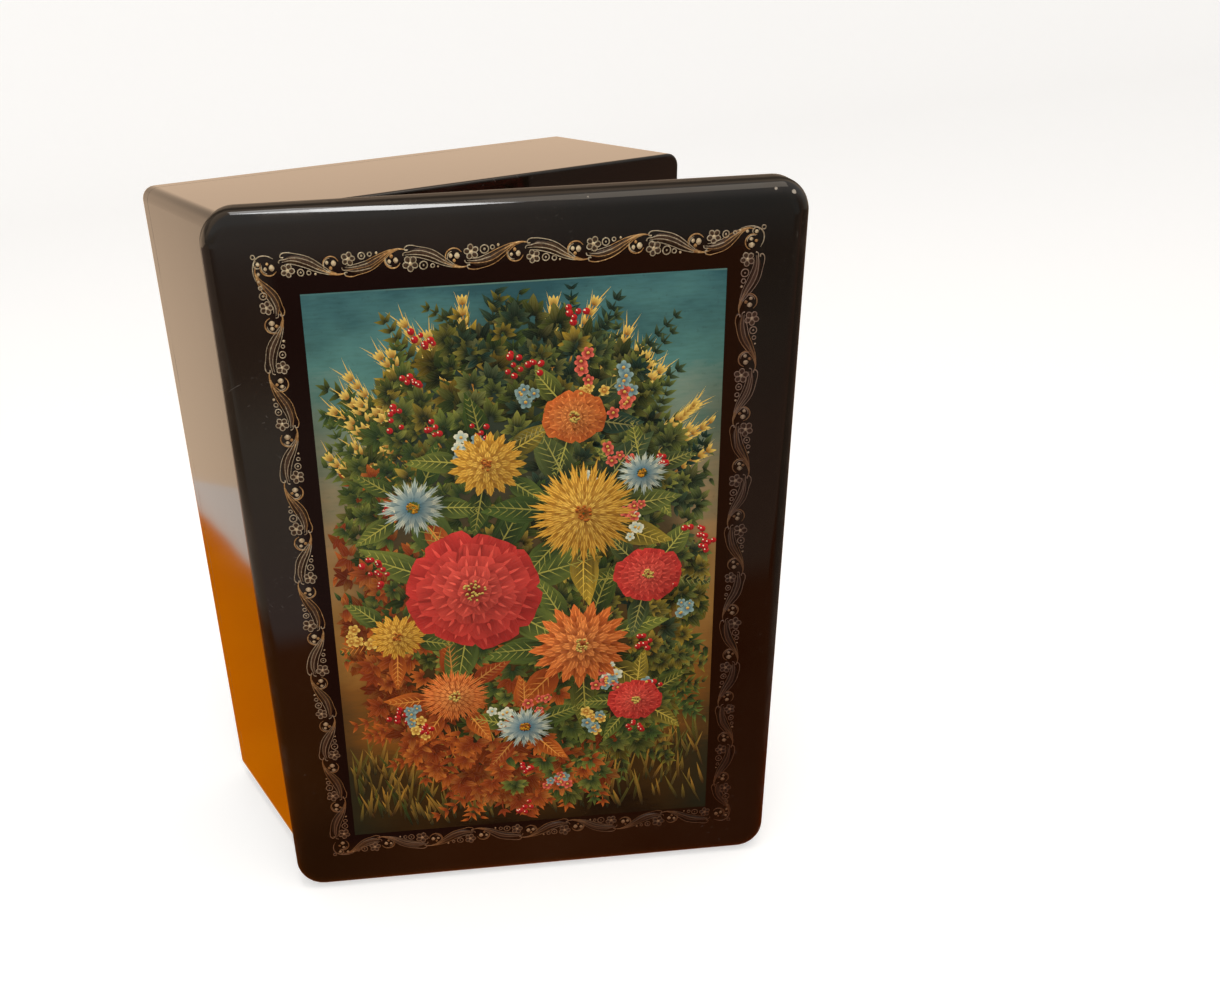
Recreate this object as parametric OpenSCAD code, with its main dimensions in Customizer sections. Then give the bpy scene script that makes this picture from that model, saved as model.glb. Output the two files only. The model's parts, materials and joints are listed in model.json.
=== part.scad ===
// Lacquer box of pressed pasteboard, standing on one short end with its lid ajar.
// Every piece is drawn as the box lies on its bottom board: X runs from the hinge side to the
// free side, Y along the hinge side and Z up from the bottom board. stand() then sets the box on
// its lower end, so that the finished model has +Z along the hinge side and the lid towards -Y.

/* [Box] */
// Length of the box along its hinge side
box_length = 190; // [140:1:260]
// Width of the box from the hinge side to the free side
box_width = 135; // [100:1:180]
// Depth of the box from the rim to the outside of the bottom board
box_depth = 60; // [40:1:90]
// Thickness of the wound wall
wall = 6.5; // [4.5:0.25:8]
// Radius of the four corners, outside
corner_radius = 3.5; // [3.5:0.5:12]
// Radius of the four corners inside the mouth
mouth_radius = 2; // [1:0.25:4]
// Rounding of the rim's outer edge
rim_rounding = 0.8; // [0.3:0.1:1.5]

/* [Bottom] */
// Thickness of the bottom board
bottom_thickness = 7; // [5:0.5:10]
// Rounding of the bottom board's outer edge
bottom_rounding = 3; // [1:0.25:3.25]
// Height of the step that seats inside the wall
step_height = 2; // [1:0.25:4]
// Play between the step and the wall
step_play = 0.1; // [0.05:0.05:0.3]

/* [Lid] */
// Thickness of the lid board
lid_thickness = 9; // [7:0.5:12]
// Overhang of the lid past the wall on every side
lid_overhang = 2.5; // [2.25:0.25:4]
// Radius of the lid's four corners
lid_corner_radius = 8; // [5:0.5:14]
// Rounding of the lid's upper edge
lid_rounding = 4.5; // [2:0.25:5]
// Rounding of the lid's lower edge
lid_under_rounding = 0.5; // [0.2:0.1:0.8]
// Angle by which the lid stands open
lid_angle = 26; // [0:1:90]
// Gap between the closed lid and the rim
seat_gap = 0.15; // [0.1:0.05:0.4]

/* [Lip] */
// Width of the strips glued under the lid
lip_width = 4; // [3:0.25:8]
// Height of the strips, which is how far they drop into the mouth
lip_height = 4; // [2:0.25:8]
// Rounding of the strips' free edges
lip_rounding = 1; // [0.4:0.1:1.25]
// Play between the strips and the mouth
lip_play = 0.6; // [0.4:0.1:1.5]

/* [Hinge] */
// Distance from each end of the box to the middle of the nearer hinge
hinge_inset = 42; // [25:1:60]
// Outside diameter of the knuckles
knuckle_d = 3; // [2.6:0.1:3.2]
// Length of one knuckle
knuckle_length = 9; // [6:0.5:14]
// Running gap between neighbouring knuckles
knuckle_gap = 0.2; // [0.1:0.05:0.4]
// Diameter of the wire pin
pin_d = 1.2; // [1:0.1:1.5]
// Running clearance around the pin, on the radius
pin_play = 0.05; // [0.02:0.01:0.1]
// Width of a knuckle's leaf, from the axis towards the mouth
leaf_width = 4; // [3:0.25:4.25]
// Thickness of a knuckle's leaf
leaf_thickness = 1.2; // [0.8:0.1:1.25]
// Room for glue around a leaf, and running room around a knuckle
seat_play = 0.1; // [0.05:0.05:0.2]
// Distance of the hinge axis outside the wall's outer face
axis_outset = 0.3; // [0.2:0.05:0.4]

/* [Hidden] */
$fn = 96;

lacquer = [0.03, 0.027, 0.027];
red_lacquer = [0.45, 0.05, 0.03];
wire = [0.62, 0.5, 0.3];

// Length by which a cut runs past the face that it opens
past = 1;
mouth_width = box_width - 2 * wall;
mouth_length = box_length - 2 * wall;
lid_width = box_width + 2 * lid_overhang;
lid_length = box_length + 2 * lid_overhang;
lip_frame_width = mouth_width - 2 * lip_play;
lip_frame_length = mouth_length - 2 * lip_play;
lid_base = box_depth + seat_gap;

axis_x = -box_width / 2 - axis_outset;
axis_z = box_depth + seat_gap / 2;
barrel_r = knuckle_d / 2;
knuckle_pitch = knuckle_length + knuckle_gap;
barrel_length = 2 * knuckle_pitch + knuckle_length;
lower_hinge = hinge_inset;
upper_hinge = box_length - hinge_inset;

// Sets the lying box on its lower end, with the middle of that end at the origin
module stand() {
    translate([0, box_depth / 2, 0])
        rotate([90, 0, 0])
            children();
}

// Turns what is drawn on the closed lid to the angle at which the lid stands open
module open_lid() {
    translate([axis_x, 0, axis_z])
        rotate([0, -lid_angle, 0])
            translate([-axis_x, 0, -axis_z])
                children();
}

// Centres a plan on the box
module on_box() {
    translate([0, box_length / 2, 0])
        children();
}

// Rectangle with round corners, centred
module rounded_plan(width, length, radius) {
    square([width - 2 * radius, length], center = true);
    square([width, length - 2 * radius], center = true);
    for (x = [-1, 1], y = [-1, 1])
        translate([x * (width / 2 - radius), y * (length / 2 - radius)])
            circle(radius);
}

// Section of a board of one width, with its two upper and its two lower edges rounded
module board_section(width, thickness, upper, lower) {
    core = width - 2 * max(upper, lower);
    translate([-core / 2, 0])
        square([core, thickness]);
    translate([-width / 2, lower])
        square([width, thickness - upper - lower]);
    for (x = [-1, 1]) {
        translate([x * (width / 2 - upper), thickness - upper])
            circle(upper);
        if (lower > 0)
            translate([x * (width / 2 - lower), lower])
                circle(lower);
    }
    translate([-width / 2 + upper, thickness / 2])
        square([width - 2 * upper, thickness / 2]);
    translate([-width / 2 + lower, 0])
        square([width - 2 * lower, thickness / 2]);
}

// Board with round corners in plan and rounded edges, centred in plan and standing on Z = 0
module board(width, length, thickness, radius, upper, lower = 0) {
    translate([0, length / 2 - radius, 0])
        rotate([90, 0, 0])
            linear_extrude(length - 2 * radius)
                board_section(width, thickness, upper, lower);
    translate([radius - width / 2, 0, 0])
        rotate([90, 0, 90])
            linear_extrude(width - 2 * radius)
                board_section(length, thickness, upper, lower);
    for (x = [-1, 1], y = [-1, 1])
        translate([x * (width / 2 - radius), y * (length / 2 - radius), 0])
            rotate_extrude()
                intersection() {
                    board_section(2 * radius, thickness, upper, lower);
                    square([radius, thickness]);
                }
}

// Extrudes a section of the hinge along its axis, centred on a place along the hinge side.
// The section's X points towards the mouth and its Y down into the wall.
module along_hinge(middle, length) {
    translate([axis_x, middle - length / 2, axis_z])
        rotate([-90, 0, 0])
            linear_extrude(length)
                children();
}

// Section of a knuckle: a tube around the pin, and a leaf flush with the face that it is let into
module knuckle_section() {
    difference() {
        union() {
            circle(barrel_r);
            translate([0, seat_gap / 2])
                square([leaf_width, leaf_thickness]);
        }
        circle(pin_d / 2 + pin_play);
    }
}

// Section of the pocket that takes a leaf, open at the face
module pocket_section() {
    translate([0, -past])
        square([leaf_width + seat_play, past + seat_gap / 2 + leaf_thickness + seat_play]);
}

// Knuckle glued into the rim
module body_knuckle(middle) {
    color(lacquer)
        stand()
            along_hinge(middle, knuckle_length)
                knuckle_section();
}

// Knuckle glued under the lid
module lid_knuckle(middle) {
    color(lacquer)
        stand()
            open_lid()
                along_hinge(middle, knuckle_length)
                    mirror([0, 1])
                        knuckle_section();
}

// Wire through the three knuckles of a hinge
module hinge_pin(middle) {
    color(wire)
        stand()
            along_hinge(middle, barrel_length)
                circle(pin_d / 2);
}

// Groove in which the whole barrel of each hinge turns
module barrel_grooves() {
    for (middle = [lower_hinge, upper_hinge])
        along_hinge(middle, barrel_length + 2 * knuckle_gap)
            circle(barrel_r + seat_play);
}

// Pockets in the rim for the leaves of the two outer knuckles of each hinge
module rim_pockets() {
    for (middle = [lower_hinge, upper_hinge], side = [-1, 1])
        along_hinge(middle + side * knuckle_pitch, knuckle_length + 2 * seat_play)
            pocket_section();
}

// Pockets under the lid for the leaf of the middle knuckle of each hinge
module lid_pockets() {
    for (middle = [lower_hinge, upper_hinge])
        along_hinge(middle, knuckle_length + 2 * seat_play)
            mirror([0, 1])
                pocket_section();
}

// The four walls as one wound tube
module wall_ring() {
    height = box_depth - bottom_thickness;
    color(lacquer)
        stand()
            difference() {
                on_box()
                    translate([0, 0, bottom_thickness])
                        board(box_width, box_length, height, corner_radius, rim_rounding);
                on_box()
                    translate([0, 0, bottom_thickness - past])
                        linear_extrude(height + 2 * past)
                            rounded_plan(mouth_width, mouth_length, mouth_radius);
                barrel_grooves();
                rim_pockets();
            }
}

// Bottom board, rounded outside, with a step that seats inside the wall
module bottom_board() {
    color(lacquer)
        stand()
            on_box() {
                translate([0, 0, bottom_thickness])
                    mirror([0, 0, 1])
                        board(box_width, box_length, bottom_thickness, corner_radius, bottom_rounding);
                translate([0, 0, bottom_thickness])
                    linear_extrude(step_height)
                        rounded_plan(mouth_width - 2 * step_play, mouth_length - 2 * step_play, mouth_radius);
            }
}

// Lid board with its broad rounded upper edge
module lid_board() {
    color(lacquer)
        stand()
            open_lid()
                difference() {
                    on_box()
                        translate([0, 0, lid_base])
                            board(lid_width, lid_length, lid_thickness, lid_corner_radius, lid_rounding,
                                lid_under_rounding);
                    barrel_grooves();
                    lid_pockets();
                }
}

// One strip of the lid's lip, lying along X at the upper end of a frame of the given size, with
// mitred ends. The frame's outer corners follow the corners of the mouth.
module lip_strip(width, length) {
    intersection() {
        linear_extrude(lip_height)
            rounded_plan(width, length, mouth_radius);
        linear_extrude(lip_height)
            polygon([
                [-width / 2, length / 2],
                [width / 2, length / 2],
                [width / 2 - lip_width, length / 2 - lip_width],
                [lip_width - width / 2, length / 2 - lip_width]
            ]);
        translate([-width / 2, length / 2 - lip_width / 2, 0])
            rotate([90, 0, 90])
                linear_extrude(width)
                    translate([0, lip_height])
                        mirror([0, 1])
                            board_section(lip_width, lip_height, lip_rounding, 0);
    }
}

// Places a strip under the lid, turned about the middle of the box
module under_lid(turn) {
    color(red_lacquer)
        stand()
            open_lid()
                on_box()
                    translate([0, 0, lid_base - lip_height])
                        rotate([0, 0, turn])
                            children();
}

module lid_lip_upper_end() {
    under_lid(0)
        lip_strip(lip_frame_width, lip_frame_length);
}

module lid_lip_lower_end() {
    under_lid(180)
        lip_strip(lip_frame_width, lip_frame_length);
}

module lid_lip_hinge_side() {
    under_lid(90)
        lip_strip(lip_frame_length, lip_frame_width);
}

module lid_lip_free_side() {
    under_lid(-90)
        lip_strip(lip_frame_length, lip_frame_width);
}

wall_ring();
bottom_board();
lid_board();
lid_lip_hinge_side();
lid_lip_free_side();
lid_lip_upper_end();
lid_lip_lower_end();
body_knuckle(lower_hinge - knuckle_pitch);  // lower_body_knuckle_a
lid_knuckle(lower_hinge);  // lower_lid_knuckle
body_knuckle(lower_hinge + knuckle_pitch);  // lower_body_knuckle_b
hinge_pin(lower_hinge);  // lower_hinge_pin
body_knuckle(upper_hinge - knuckle_pitch);  // upper_body_knuckle_a
lid_knuckle(upper_hinge);  // upper_lid_knuckle
body_knuckle(upper_hinge + knuckle_pitch);  // upper_body_knuckle_b
hinge_pin(upper_hinge);  // upper_hinge_pin
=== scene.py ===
"""The looks of the lacquer box: camera, plain studio, lacquer, gold border and painted flower panel."""

import json
import math
import random

import bmesh
import bpy
from mathutils import Matrix, Vector


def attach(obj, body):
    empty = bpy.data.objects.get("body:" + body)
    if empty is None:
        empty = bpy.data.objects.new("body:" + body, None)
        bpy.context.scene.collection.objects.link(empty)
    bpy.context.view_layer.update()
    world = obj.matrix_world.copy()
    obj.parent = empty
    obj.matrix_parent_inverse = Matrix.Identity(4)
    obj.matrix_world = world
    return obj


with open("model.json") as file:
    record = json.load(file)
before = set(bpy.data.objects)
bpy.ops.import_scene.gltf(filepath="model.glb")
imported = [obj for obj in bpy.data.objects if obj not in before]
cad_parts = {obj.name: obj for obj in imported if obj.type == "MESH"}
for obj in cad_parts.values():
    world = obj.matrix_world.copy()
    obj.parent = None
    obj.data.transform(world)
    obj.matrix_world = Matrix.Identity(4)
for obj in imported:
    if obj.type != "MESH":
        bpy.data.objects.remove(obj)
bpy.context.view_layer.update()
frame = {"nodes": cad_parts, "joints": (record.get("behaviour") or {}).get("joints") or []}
nodes = frame["nodes"]
scene = bpy.context.scene

# Sizes of the box in millimetres, as in its source

MM = 0.001
BOX_HALF_WIDTH = 67.5
BOX_HALF_DEPTH = 30.0
BOX_LENGTH = 190.0
WALL = 6.5
BOTTOM_THICKNESS = 7.0
LID_OVERHANG = 2.5
LID_HALF_WIDTH = BOX_HALF_WIDTH + LID_OVERHANG
LID_FACE = 39.15
LID_UNDERSIDE = 30.15
LIP_INSET = 7.1
LIP_HEIGHT = 4.0
FLOOR_LEVEL = -LID_OVERHANG - 0.02

# Places on the lid in millimetres: across from the hinge side, up from the lower edge
# and out from the face

hinge = frame["joints"][0]
hinge_point = Vector(hinge["pos_m"])
open_angle = math.radians(-hinge["range_deg"][0])
open_turn = Matrix.Rotation(open_angle, 4, Vector(hinge["axis"]))
opened = Matrix.Translation(hinge_point) @ open_turn @ Matrix.Translation(-hinge_point)
lid_corner = Vector((-LID_HALF_WIDTH, -LID_FACE, -LID_OVERHANG)) * MM
on_lid = opened @ Matrix.Translation(lid_corner)
on_lid = on_lid @ Matrix.Rotation(math.pi / 2, 4, "X") @ Matrix.Scale(MM, 4)


class Shade:
    """A socket of a material's tree. Sums on it add Math nodes."""

    def __init__(self, tree, socket=None):
        self.tree = tree
        self.socket = socket

    def node(self, kind, settings=None, sockets=None, output=0):
        """Adds a node: its settings first, then the values or links of its sockets."""
        made = self.tree.nodes.new(kind)
        for name, value in (settings or {}).items():
            if name == "stops":
                elements = made.color_ramp.elements
                elements.remove(elements[1])
                elements[0].position = value[0][0]
                elements[0].color = value[0][1]
                for place, colour in value[1:]:
                    elements.new(place).color = colour
            else:
                setattr(made, name, value)
        for name, value in (sockets or {}).items():
            if isinstance(value, Shade):
                self.tree.links.new(value.socket, made.inputs[name])
            else:
                made.inputs[name].default_value = value
        return Shade(self.tree, made.outputs[output])

    def maths(self, operation, *values):
        return self.node("ShaderNodeMath", {"operation": operation}, dict(enumerate(values)))

    def __add__(self, other):
        return self.maths("ADD", self, other)

    __radd__ = __add__

    def __sub__(self, other):
        return self.maths("SUBTRACT", self, other)

    def __rsub__(self, other):
        return self.maths("SUBTRACT", other, self)

    def __mul__(self, other):
        return self.maths("MULTIPLY", self, other)

    __rmul__ = __mul__

    def __truediv__(self, other):
        return self.maths("DIVIDE", self, other)

    def __abs__(self):
        return self.maths("ABSOLUTE", self)

    def least(self, other):
        return self.maths("MINIMUM", self, other)

    def most(self, other):
        return self.maths("MAXIMUM", self, other)

    def between(self, low, high):
        """0 at low, 1 at high, and smooth between them."""
        places = {"Value": self, "From Min": low, "From Max": high}
        return self.node("ShaderNodeMapRange", {"interpolation_type": "SMOOTHSTEP"}, places)

    def tint(self, first, second, blend="MIX"):
        """The first colour where this is 0, and the second, blended with it, where it is 1."""
        settings = {"data_type": "RGBA", "blend_type": blend}
        return self.node("ShaderNodeMix", settings, {0: self, 6: first, 7: second}, 2)

    def noise(self, scale, detail=3.0):
        return self.node("ShaderNodeTexNoise", {}, {"Vector": self, "Scale": scale, "Detail": detail})

    def placed(self, location=(0, 0, 0), rotation=(0, 0, 0), scale=(1, 1, 1)):
        sockets = {"Vector": self, "Location": location, "Rotation": rotation, "Scale": scale}
        return self.node("ShaderNodeMapping", {}, sockets)

    def axes(self):
        """The three numbers of a vector."""
        parts = self.node("ShaderNodeSeparateXYZ", {}, {0: self}).socket.node
        return [Shade(self.tree, socket) for socket in parts.outputs]


def rgb(red, green, blue):
    return (red, green, blue, 1.0)


def new_finish(name, constants):
    """A material with one Principled shader, and the piece's own coordinates in metres."""
    material = bpy.data.materials.new(name)
    material.use_nodes = True
    tree = material.node_tree
    shader = tree.nodes["Principled BSDF"]
    for socket, value in constants.items():
        shader.inputs[socket].default_value = value
    spot = Shade(tree).node("ShaderNodeTexCoord", {}, {}, "Object")
    return material, shader, spot


def drive(shader, socket, shade):
    shade.tree.links.new(shade.socket, shader.inputs[socket])


def drive_bump(shader, height, depth):
    """Height 1 stands out by depth, in metres."""
    sockets = {"Strength": 1.0, "Distance": depth, "Height": height}
    drive(shader, "Normal", height.node("ShaderNodeBump", {}, sockets))


# Steps that many pieces share

def move_new(bm, grown, vec):
    """Moves the points that an extrusion made."""
    points = [item for item in grown["geom"] if isinstance(item, bmesh.types.BMVert)]
    bmesh.ops.translate(bm, verts=points, vec=vec)
    return points


def mesh_from(bm, name):
    mesh = bpy.data.meshes.new(name)
    bm.to_mesh(mesh)
    bm.free()
    return mesh


def on_body(mesh, name, body, material):
    """Puts a finished mesh in the scene on one of the bodies."""
    mesh.materials.clear()
    mesh.materials.append(material)
    piece = bpy.data.objects.new(name, mesh)
    scene.collection.objects.link(piece)
    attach(piece, body)


# Lacquer

BLACK = rgb(0.0046, 0.0030, 0.0016)
BLACK_WARM = rgb(0.0085, 0.0050, 0.0026)
FIELD_LEFT = rgb(0.0085, 0.0028, 0.0021)
FIELD_RIGHT = rgb(0.0145, 0.0042, 0.0014)
SCRATCH_GREY = rgb(0.075, 0.066, 0.058)
RUBBED_BROWN = rgb(0.052, 0.038, 0.029)
BARE_BOARD = rgb(0.34, 0.29, 0.235)
RED = rgb(0.19, 0.013, 0.009)
RED_BRIGHT = rgb(0.27, 0.024, 0.014)
RED_DEEP = rgb(0.11, 0.008, 0.006)
LACQUER_WAVE = 0.16 * MM
WALL_RUB = 1.5 * MM
BOTTOM_RUB = 2.2 * MM
LID_RUB = 3.2 * MM
KNUCKLE_RUB = 0.4 * MM
FIELD_MIDDLE = (0.2, 96.2)
FIELD_HALF = (53.2, 80.9)
FIELD_EDGE = (58.4, 86.2)
LID_KNOCKS = (
    ((0.0610, -0.0384, 0.1905), 0.0005),
    ((0.0652, -0.0384, 0.1896), 0.0005),
    ((0.0693, -0.0358, 0.1560), 0.0010),
    ((0.0690, -0.0362, 0.1873), 0.0005),
)


def scratches(spot):
    """A few fine hairlines that run three ways over a surface."""
    found = None
    for turn, shift in (((0.3, 0.6, 0.1), 0.0), ((-0.4, -1.0, 0.5), 3.1), ((1.1, 1.9, -0.8), 7.7)):
        lines = spot.placed((shift, shift, shift), turn).placed(scale=(1900, 1900, 26))
        hairs = lines.noise(1.0, 1.0).between(0.74, 0.78)
        found = hairs if found is None else found.most(hairs)
    return found * spot.noise(26, 2.0).between(0.5, 0.68)


def second_least(first, second, third):
    return first.least(second).most(first.most(second).least(third))


def black_lacquer(name, frame_of, edge_of, edge_width, inside_of=None, seam_of=None, lid=False):
    """Polished black lacquer, rubbed along the edges, with red lacquer where inside_of says.

    A lid also has knocks, sides that are less polished, and a duller field inside its gold border.
    """
    material, shader, spot = new_finish(name, {"IOR": 1.25, "Coat Roughness": 0.06, "Coat IOR": 1.69})
    spot = frame_of(spot)
    cloud = spot.noise(24, 4.0)
    grain = spot.noise(330, 3.0)
    hairs = scratches(spot)
    places = spot.axes()
    gap = edge_of(*places)
    near_edge = gap.between(edge_width, edge_width * 0.3)
    rubbed = near_edge * spot.noise(95, 4.0).between(0.46, 0.66)
    chips = gap.between(edge_width * 0.62, edge_width * 0.34) * spot.noise(300, 2.0).between(0.685, 0.70)
    chips = chips * spot.noise(40, 1.0).between(0.57, 0.62)
    for place, size in LID_KNOCKS if lid else ():
        away = spot.node("ShaderNodeVectorMath", {"operation": "DISTANCE"}, {0: spot, 1: place}, "Value")
        ragged = away + 0.0012 * (spot.noise(700, 2.0) - 0.5)
        chips = chips.most(ragged.between(size, size * 0.7))
    colour = cloud.between(0.35, 0.68).tint(BLACK, BLACK_WARM)
    colour = (hairs * 0.5).tint(colour, SCRATCH_GREY)
    colour = (rubbed * 0.4).tint(colour, RUBBED_BROWN)
    rough = 0.05 + 0.06 * cloud + 0.04 * grain + 0.12 * hairs + 0.10 * rubbed + 0.45 * chips
    height = spot.noise(11, 2.0) + 0.012 * grain - 0.03 * hairs - 0.6 * chips
    coat = 1 - 0.3 * rubbed - 0.8 * chips - 0.1 * hairs
    if lid:
        field = lid_field(*places)
        colour = (field * 0.9).tint(colour, places[0].between(-0.03, 0.05).tint(FIELD_LEFT, FIELD_RIGHT))
        dull = lid_side(*places)
        rough = rough + 0.3 * dull
        coat = coat * (1 - field) * (1 - 0.97 * dull)
    colour = chips.tint(colour, BARE_BOARD)
    if seam_of:
        seam = seam_of(*places) * spot.noise(60, 3.0).between(0.36, 0.58)
        colour = (seam * 0.7).tint(colour, RUBBED_BROWN)
        rough = rough + 0.3 * seam
        height = height - 0.25 * seam
        coat = coat - 0.45 * seam
    if inside_of:
        inside = inside_of(*places)
        brushed = spot.placed(scale=(60, 60, 420)).noise(1.0, 3.0)
        red = brushed.between(0.35, 0.65).tint(RED, RED_BRIGHT)
        red = cloud.between(0.5, 0.75).tint(red, RED_DEEP)
        red = (hairs * 0.3).tint(red, RED_DEEP)
        colour = inside.tint(colour, red)
        rough = rough + inside * (0.06 + 0.08 * brushed)
        height = height + inside * 0.05 * brushed
        coat = coat * (1 - 0.6 * inside)
    drive(shader, "Base Color", colour)
    drive(shader, "Roughness", rough)
    drive(shader, "Coat Weight", coat)
    drive_bump(shader, height, LACQUER_WAVE)
    return material


def box_frame(spot):
    return spot


def lid_frame(spot):
    """Turns the rest place of the lid back to its closed place."""
    back = opened.inverted()
    return spot.placed(back.to_translation(), back.to_euler())


def box_edge(x, y, z):
    ends = BOX_LENGTH / 2 * MM - abs(z - BOX_LENGTH / 2 * MM)
    return second_least(BOX_HALF_WIDTH * MM - abs(x), ends, BOX_HALF_DEPTH * MM - abs(y))


def lid_edge(x, y, z):
    ends = (BOX_LENGTH / 2 + LID_OVERHANG) * MM - abs(z - BOX_LENGTH / 2 * MM)
    return second_least(LID_HALF_WIDTH * MM - abs(x), ends, y + LID_FACE * MM)


def set_in(x, z, start, fade):
    """0 up to start in from the sides and ends of the box, and 1 from fade further in."""
    across = BOX_HALF_WIDTH - start
    along = BOX_LENGTH / 2 - start
    inside = abs(x).between(across * MM, (across - fade) * MM)
    return inside * abs(z - BOX_LENGTH / 2 * MM).between(along * MM, (along - fade) * MM)


def in_walls(x, y, z):
    """1 on the inner faces of the wall ring, below where the lip sits."""
    lip_end = LIP_HEIGHT - BOX_HALF_DEPTH
    return set_in(x, z, WALL - 0.7, 0.4) * y.between(lip_end * MM, (lip_end + 0.3) * MM)


def on_step(x, y, z):
    """1 on the part of the bottom that shows inside the box."""
    step = BOX_HALF_DEPTH - BOTTOM_THICKNESS
    return y.between((step - 1.0) * MM, (step - 1.6) * MM)


def under_lid(x, y, z):
    """1 on the lid's underside, inside its lip."""
    depth = y.between((-LID_UNDERSIDE - 0.6) * MM, (-LID_UNDERSIDE - 0.3) * MM)
    return set_in(x, z, LIP_INSET, 0.3) * depth


def lid_field(x, y, z):
    """1 on the lid's face inside the gold border."""
    across = abs(x - FIELD_MIDDLE[0] * MM).between(FIELD_EDGE[0] * MM, FIELD_HALF[0] * MM)
    along = abs(z - FIELD_MIDDLE[1] * MM).between(FIELD_EDGE[1] * MM, FIELD_HALF[1] * MM)
    return across * along * y.between((1.15 - LID_FACE) * MM, (0.35 - LID_FACE) * MM)


def lid_side(x, y, z):
    """1 on the lid's plain sides and on the foot of their rounding, less towards the lower edge."""
    foot = y.between((2.25 - LID_FACE) * MM, (3.15 - LID_FACE) * MM)
    low = y.between((-LID_UNDERSIDE - 2.35) * MM, (-LID_UNDERSIDE - 0.85) * MM)
    return foot * (1 - 0.2 * low)


def bottom_seam(x, y, z):
    """1 along the line where the bottom is glued to the walls."""
    return abs(y - (BOX_HALF_DEPTH - BOTTOM_THICKNESS) * MM).between(0.28 * MM, 0.08 * MM)


def red_lacquer(name):
    """Brushed red lacquer for the lip under the lid."""
    material, shader, spot = new_finish(name, {"IOR": 1.52})
    brushed = spot.placed(rotation=(0.1, 0.2, 0.3)).placed(scale=(420, 420, 60)).noise(1.0, 3.0)
    cloud = spot.noise(40, 4.0)
    hairs = scratches(spot)
    colour = brushed.between(0.35, 0.65).tint(RED, RED_BRIGHT)
    colour = cloud.between(0.48, 0.75).tint(colour, RED_DEEP)
    drive(shader, "Base Color", (hairs * 0.35).tint(colour, RED_DEEP))
    drive(shader, "Roughness", 0.11 + 0.10 * brushed + 0.08 * cloud + 0.1 * hairs)
    drive_bump(shader, brushed * 0.3 + cloud, 0.00006)
    return material


def wire_brass(name):
    """Drawn brass wire, dulled in patches."""
    material, shader, spot = new_finish(name, {"Metallic": 1.0})
    drawn = spot.placed(scale=(5200, 5200, 90)).noise(1.0, 2.0)
    dull = spot.noise(420, 3.0)
    colour = dull.between(0.4, 0.7).tint(rgb(0.66, 0.47, 0.20), rgb(0.40, 0.27, 0.12))
    drive(shader, "Base Color", colour)
    drive(shader, "Roughness", 0.2 + 0.16 * drawn + 0.18 * dull)
    drive_bump(shader, drawn, 0.00001)
    return material


def wear(node, material):
    for place in nodes[node].material_slots:
        place.material = material


wear("wall_ring", black_lacquer("wall_lacquer", box_frame, box_edge, WALL_RUB, in_walls, bottom_seam))
wear("bottom_board", black_lacquer("bottom_lacquer", box_frame, box_edge, BOTTOM_RUB, on_step, bottom_seam))
wear("lid_board", black_lacquer("lid_lacquer", lid_frame, lid_edge, LID_RUB, under_lid, lid=True))
lip_red = red_lacquer("lip_red")
for side in ("hinge_side", "free_side", "upper_end", "lower_end"):
    wear("lid_lip_" + side, lip_red)
knuckle_black = black_lacquer("knuckle_lacquer", box_frame, box_edge, KNUCKLE_RUB)
pin_brass = wire_brass("pin_brass")
for end in ("lower", "upper"):
    for knuckle in ("body_knuckle_a", "lid_knuckle", "body_knuckle_b"):
        wear(end + "_" + knuckle, knuckle_black)
    wear(end + "_hinge_pin", pin_brass)


# Gold border on the lid, in millimetres

HALF_WAVES_ACROSS = 8
HALF_WAVES_UP = 12
BAND_LEFT = 14.4
BAND_RIGHT = 126.0
BAND_LOW = 15.2
BAND_HIGH = 182.2
MOTIF_LENGTH = 13.95
GOLD_FLATNESS = 0.3
GOLD_LIFT = 0.02
FINE_LINE = 0.09

brush_hand = random.Random(11)


def by_hand(value, spread):
    """A size that differs a little each time, as in brush work."""
    return value * brush_hand.uniform(1 - spread, 1 + spread)


def near_by(along, out):
    """A place that differs a little each time."""
    return along + brush_hand.uniform(-0.14, 0.14), out + brush_hand.uniform(-0.1, 0.1)


def gold_lines(name):
    """An empty set of liner brush strokes."""
    curve = bpy.data.curves.new(name, "CURVE")
    curve.dimensions = "3D"
    curve.bevel_depth = 1.0
    curve.bevel_resolution = 0
    curve.use_fill_caps = True
    return curve


def gold_stroke(curve, place, points, closed=False):
    """One stroke of the liner brush through points of along, out and half width."""
    spline = curve.splines.new("BEZIER")
    spline.bezier_points.add(len(points) - 1)
    spline.use_cyclic_u = closed
    spline.resolution_u = 3
    for knot, (along, out, half_width) in zip(spline.bezier_points, points):
        knot.co = place @ Vector((along, out, 0))
        knot.radius = half_width
        knot.handle_left_type = "AUTO"
        knot.handle_right_type = "AUTO"


def gold_arc(curve, place, centre, radius, start, end, thick, count=5):
    """A crescent: an arc that swells in the middle."""
    points = []
    for step in range(count):
        share = step / (count - 1)
        angle = math.radians(start + (end - start) * share)
        width = 0.06 + thick * math.sin(math.pi * share)
        along = centre[0] + radius * math.cos(angle)
        out = centre[1] + radius * math.sin(angle)
        points.append((along, out, width))
    gold_stroke(curve, place, points)


def gold_ring(curve, place, centre, radius, width, long=1.0, turn=0.0):
    """A closed loop of one brush line."""
    points = []
    for step in range(4):
        angle = step * math.pi / 2
        x = radius * long * math.cos(angle)
        y = radius * math.sin(angle)
        along = centre[0] + x * math.cos(turn) - y * math.sin(turn)
        out = centre[1] + x * math.sin(turn) + y * math.cos(turn)
        points.append((along, out, width))
    gold_stroke(curve, place, points, closed=True)


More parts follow.
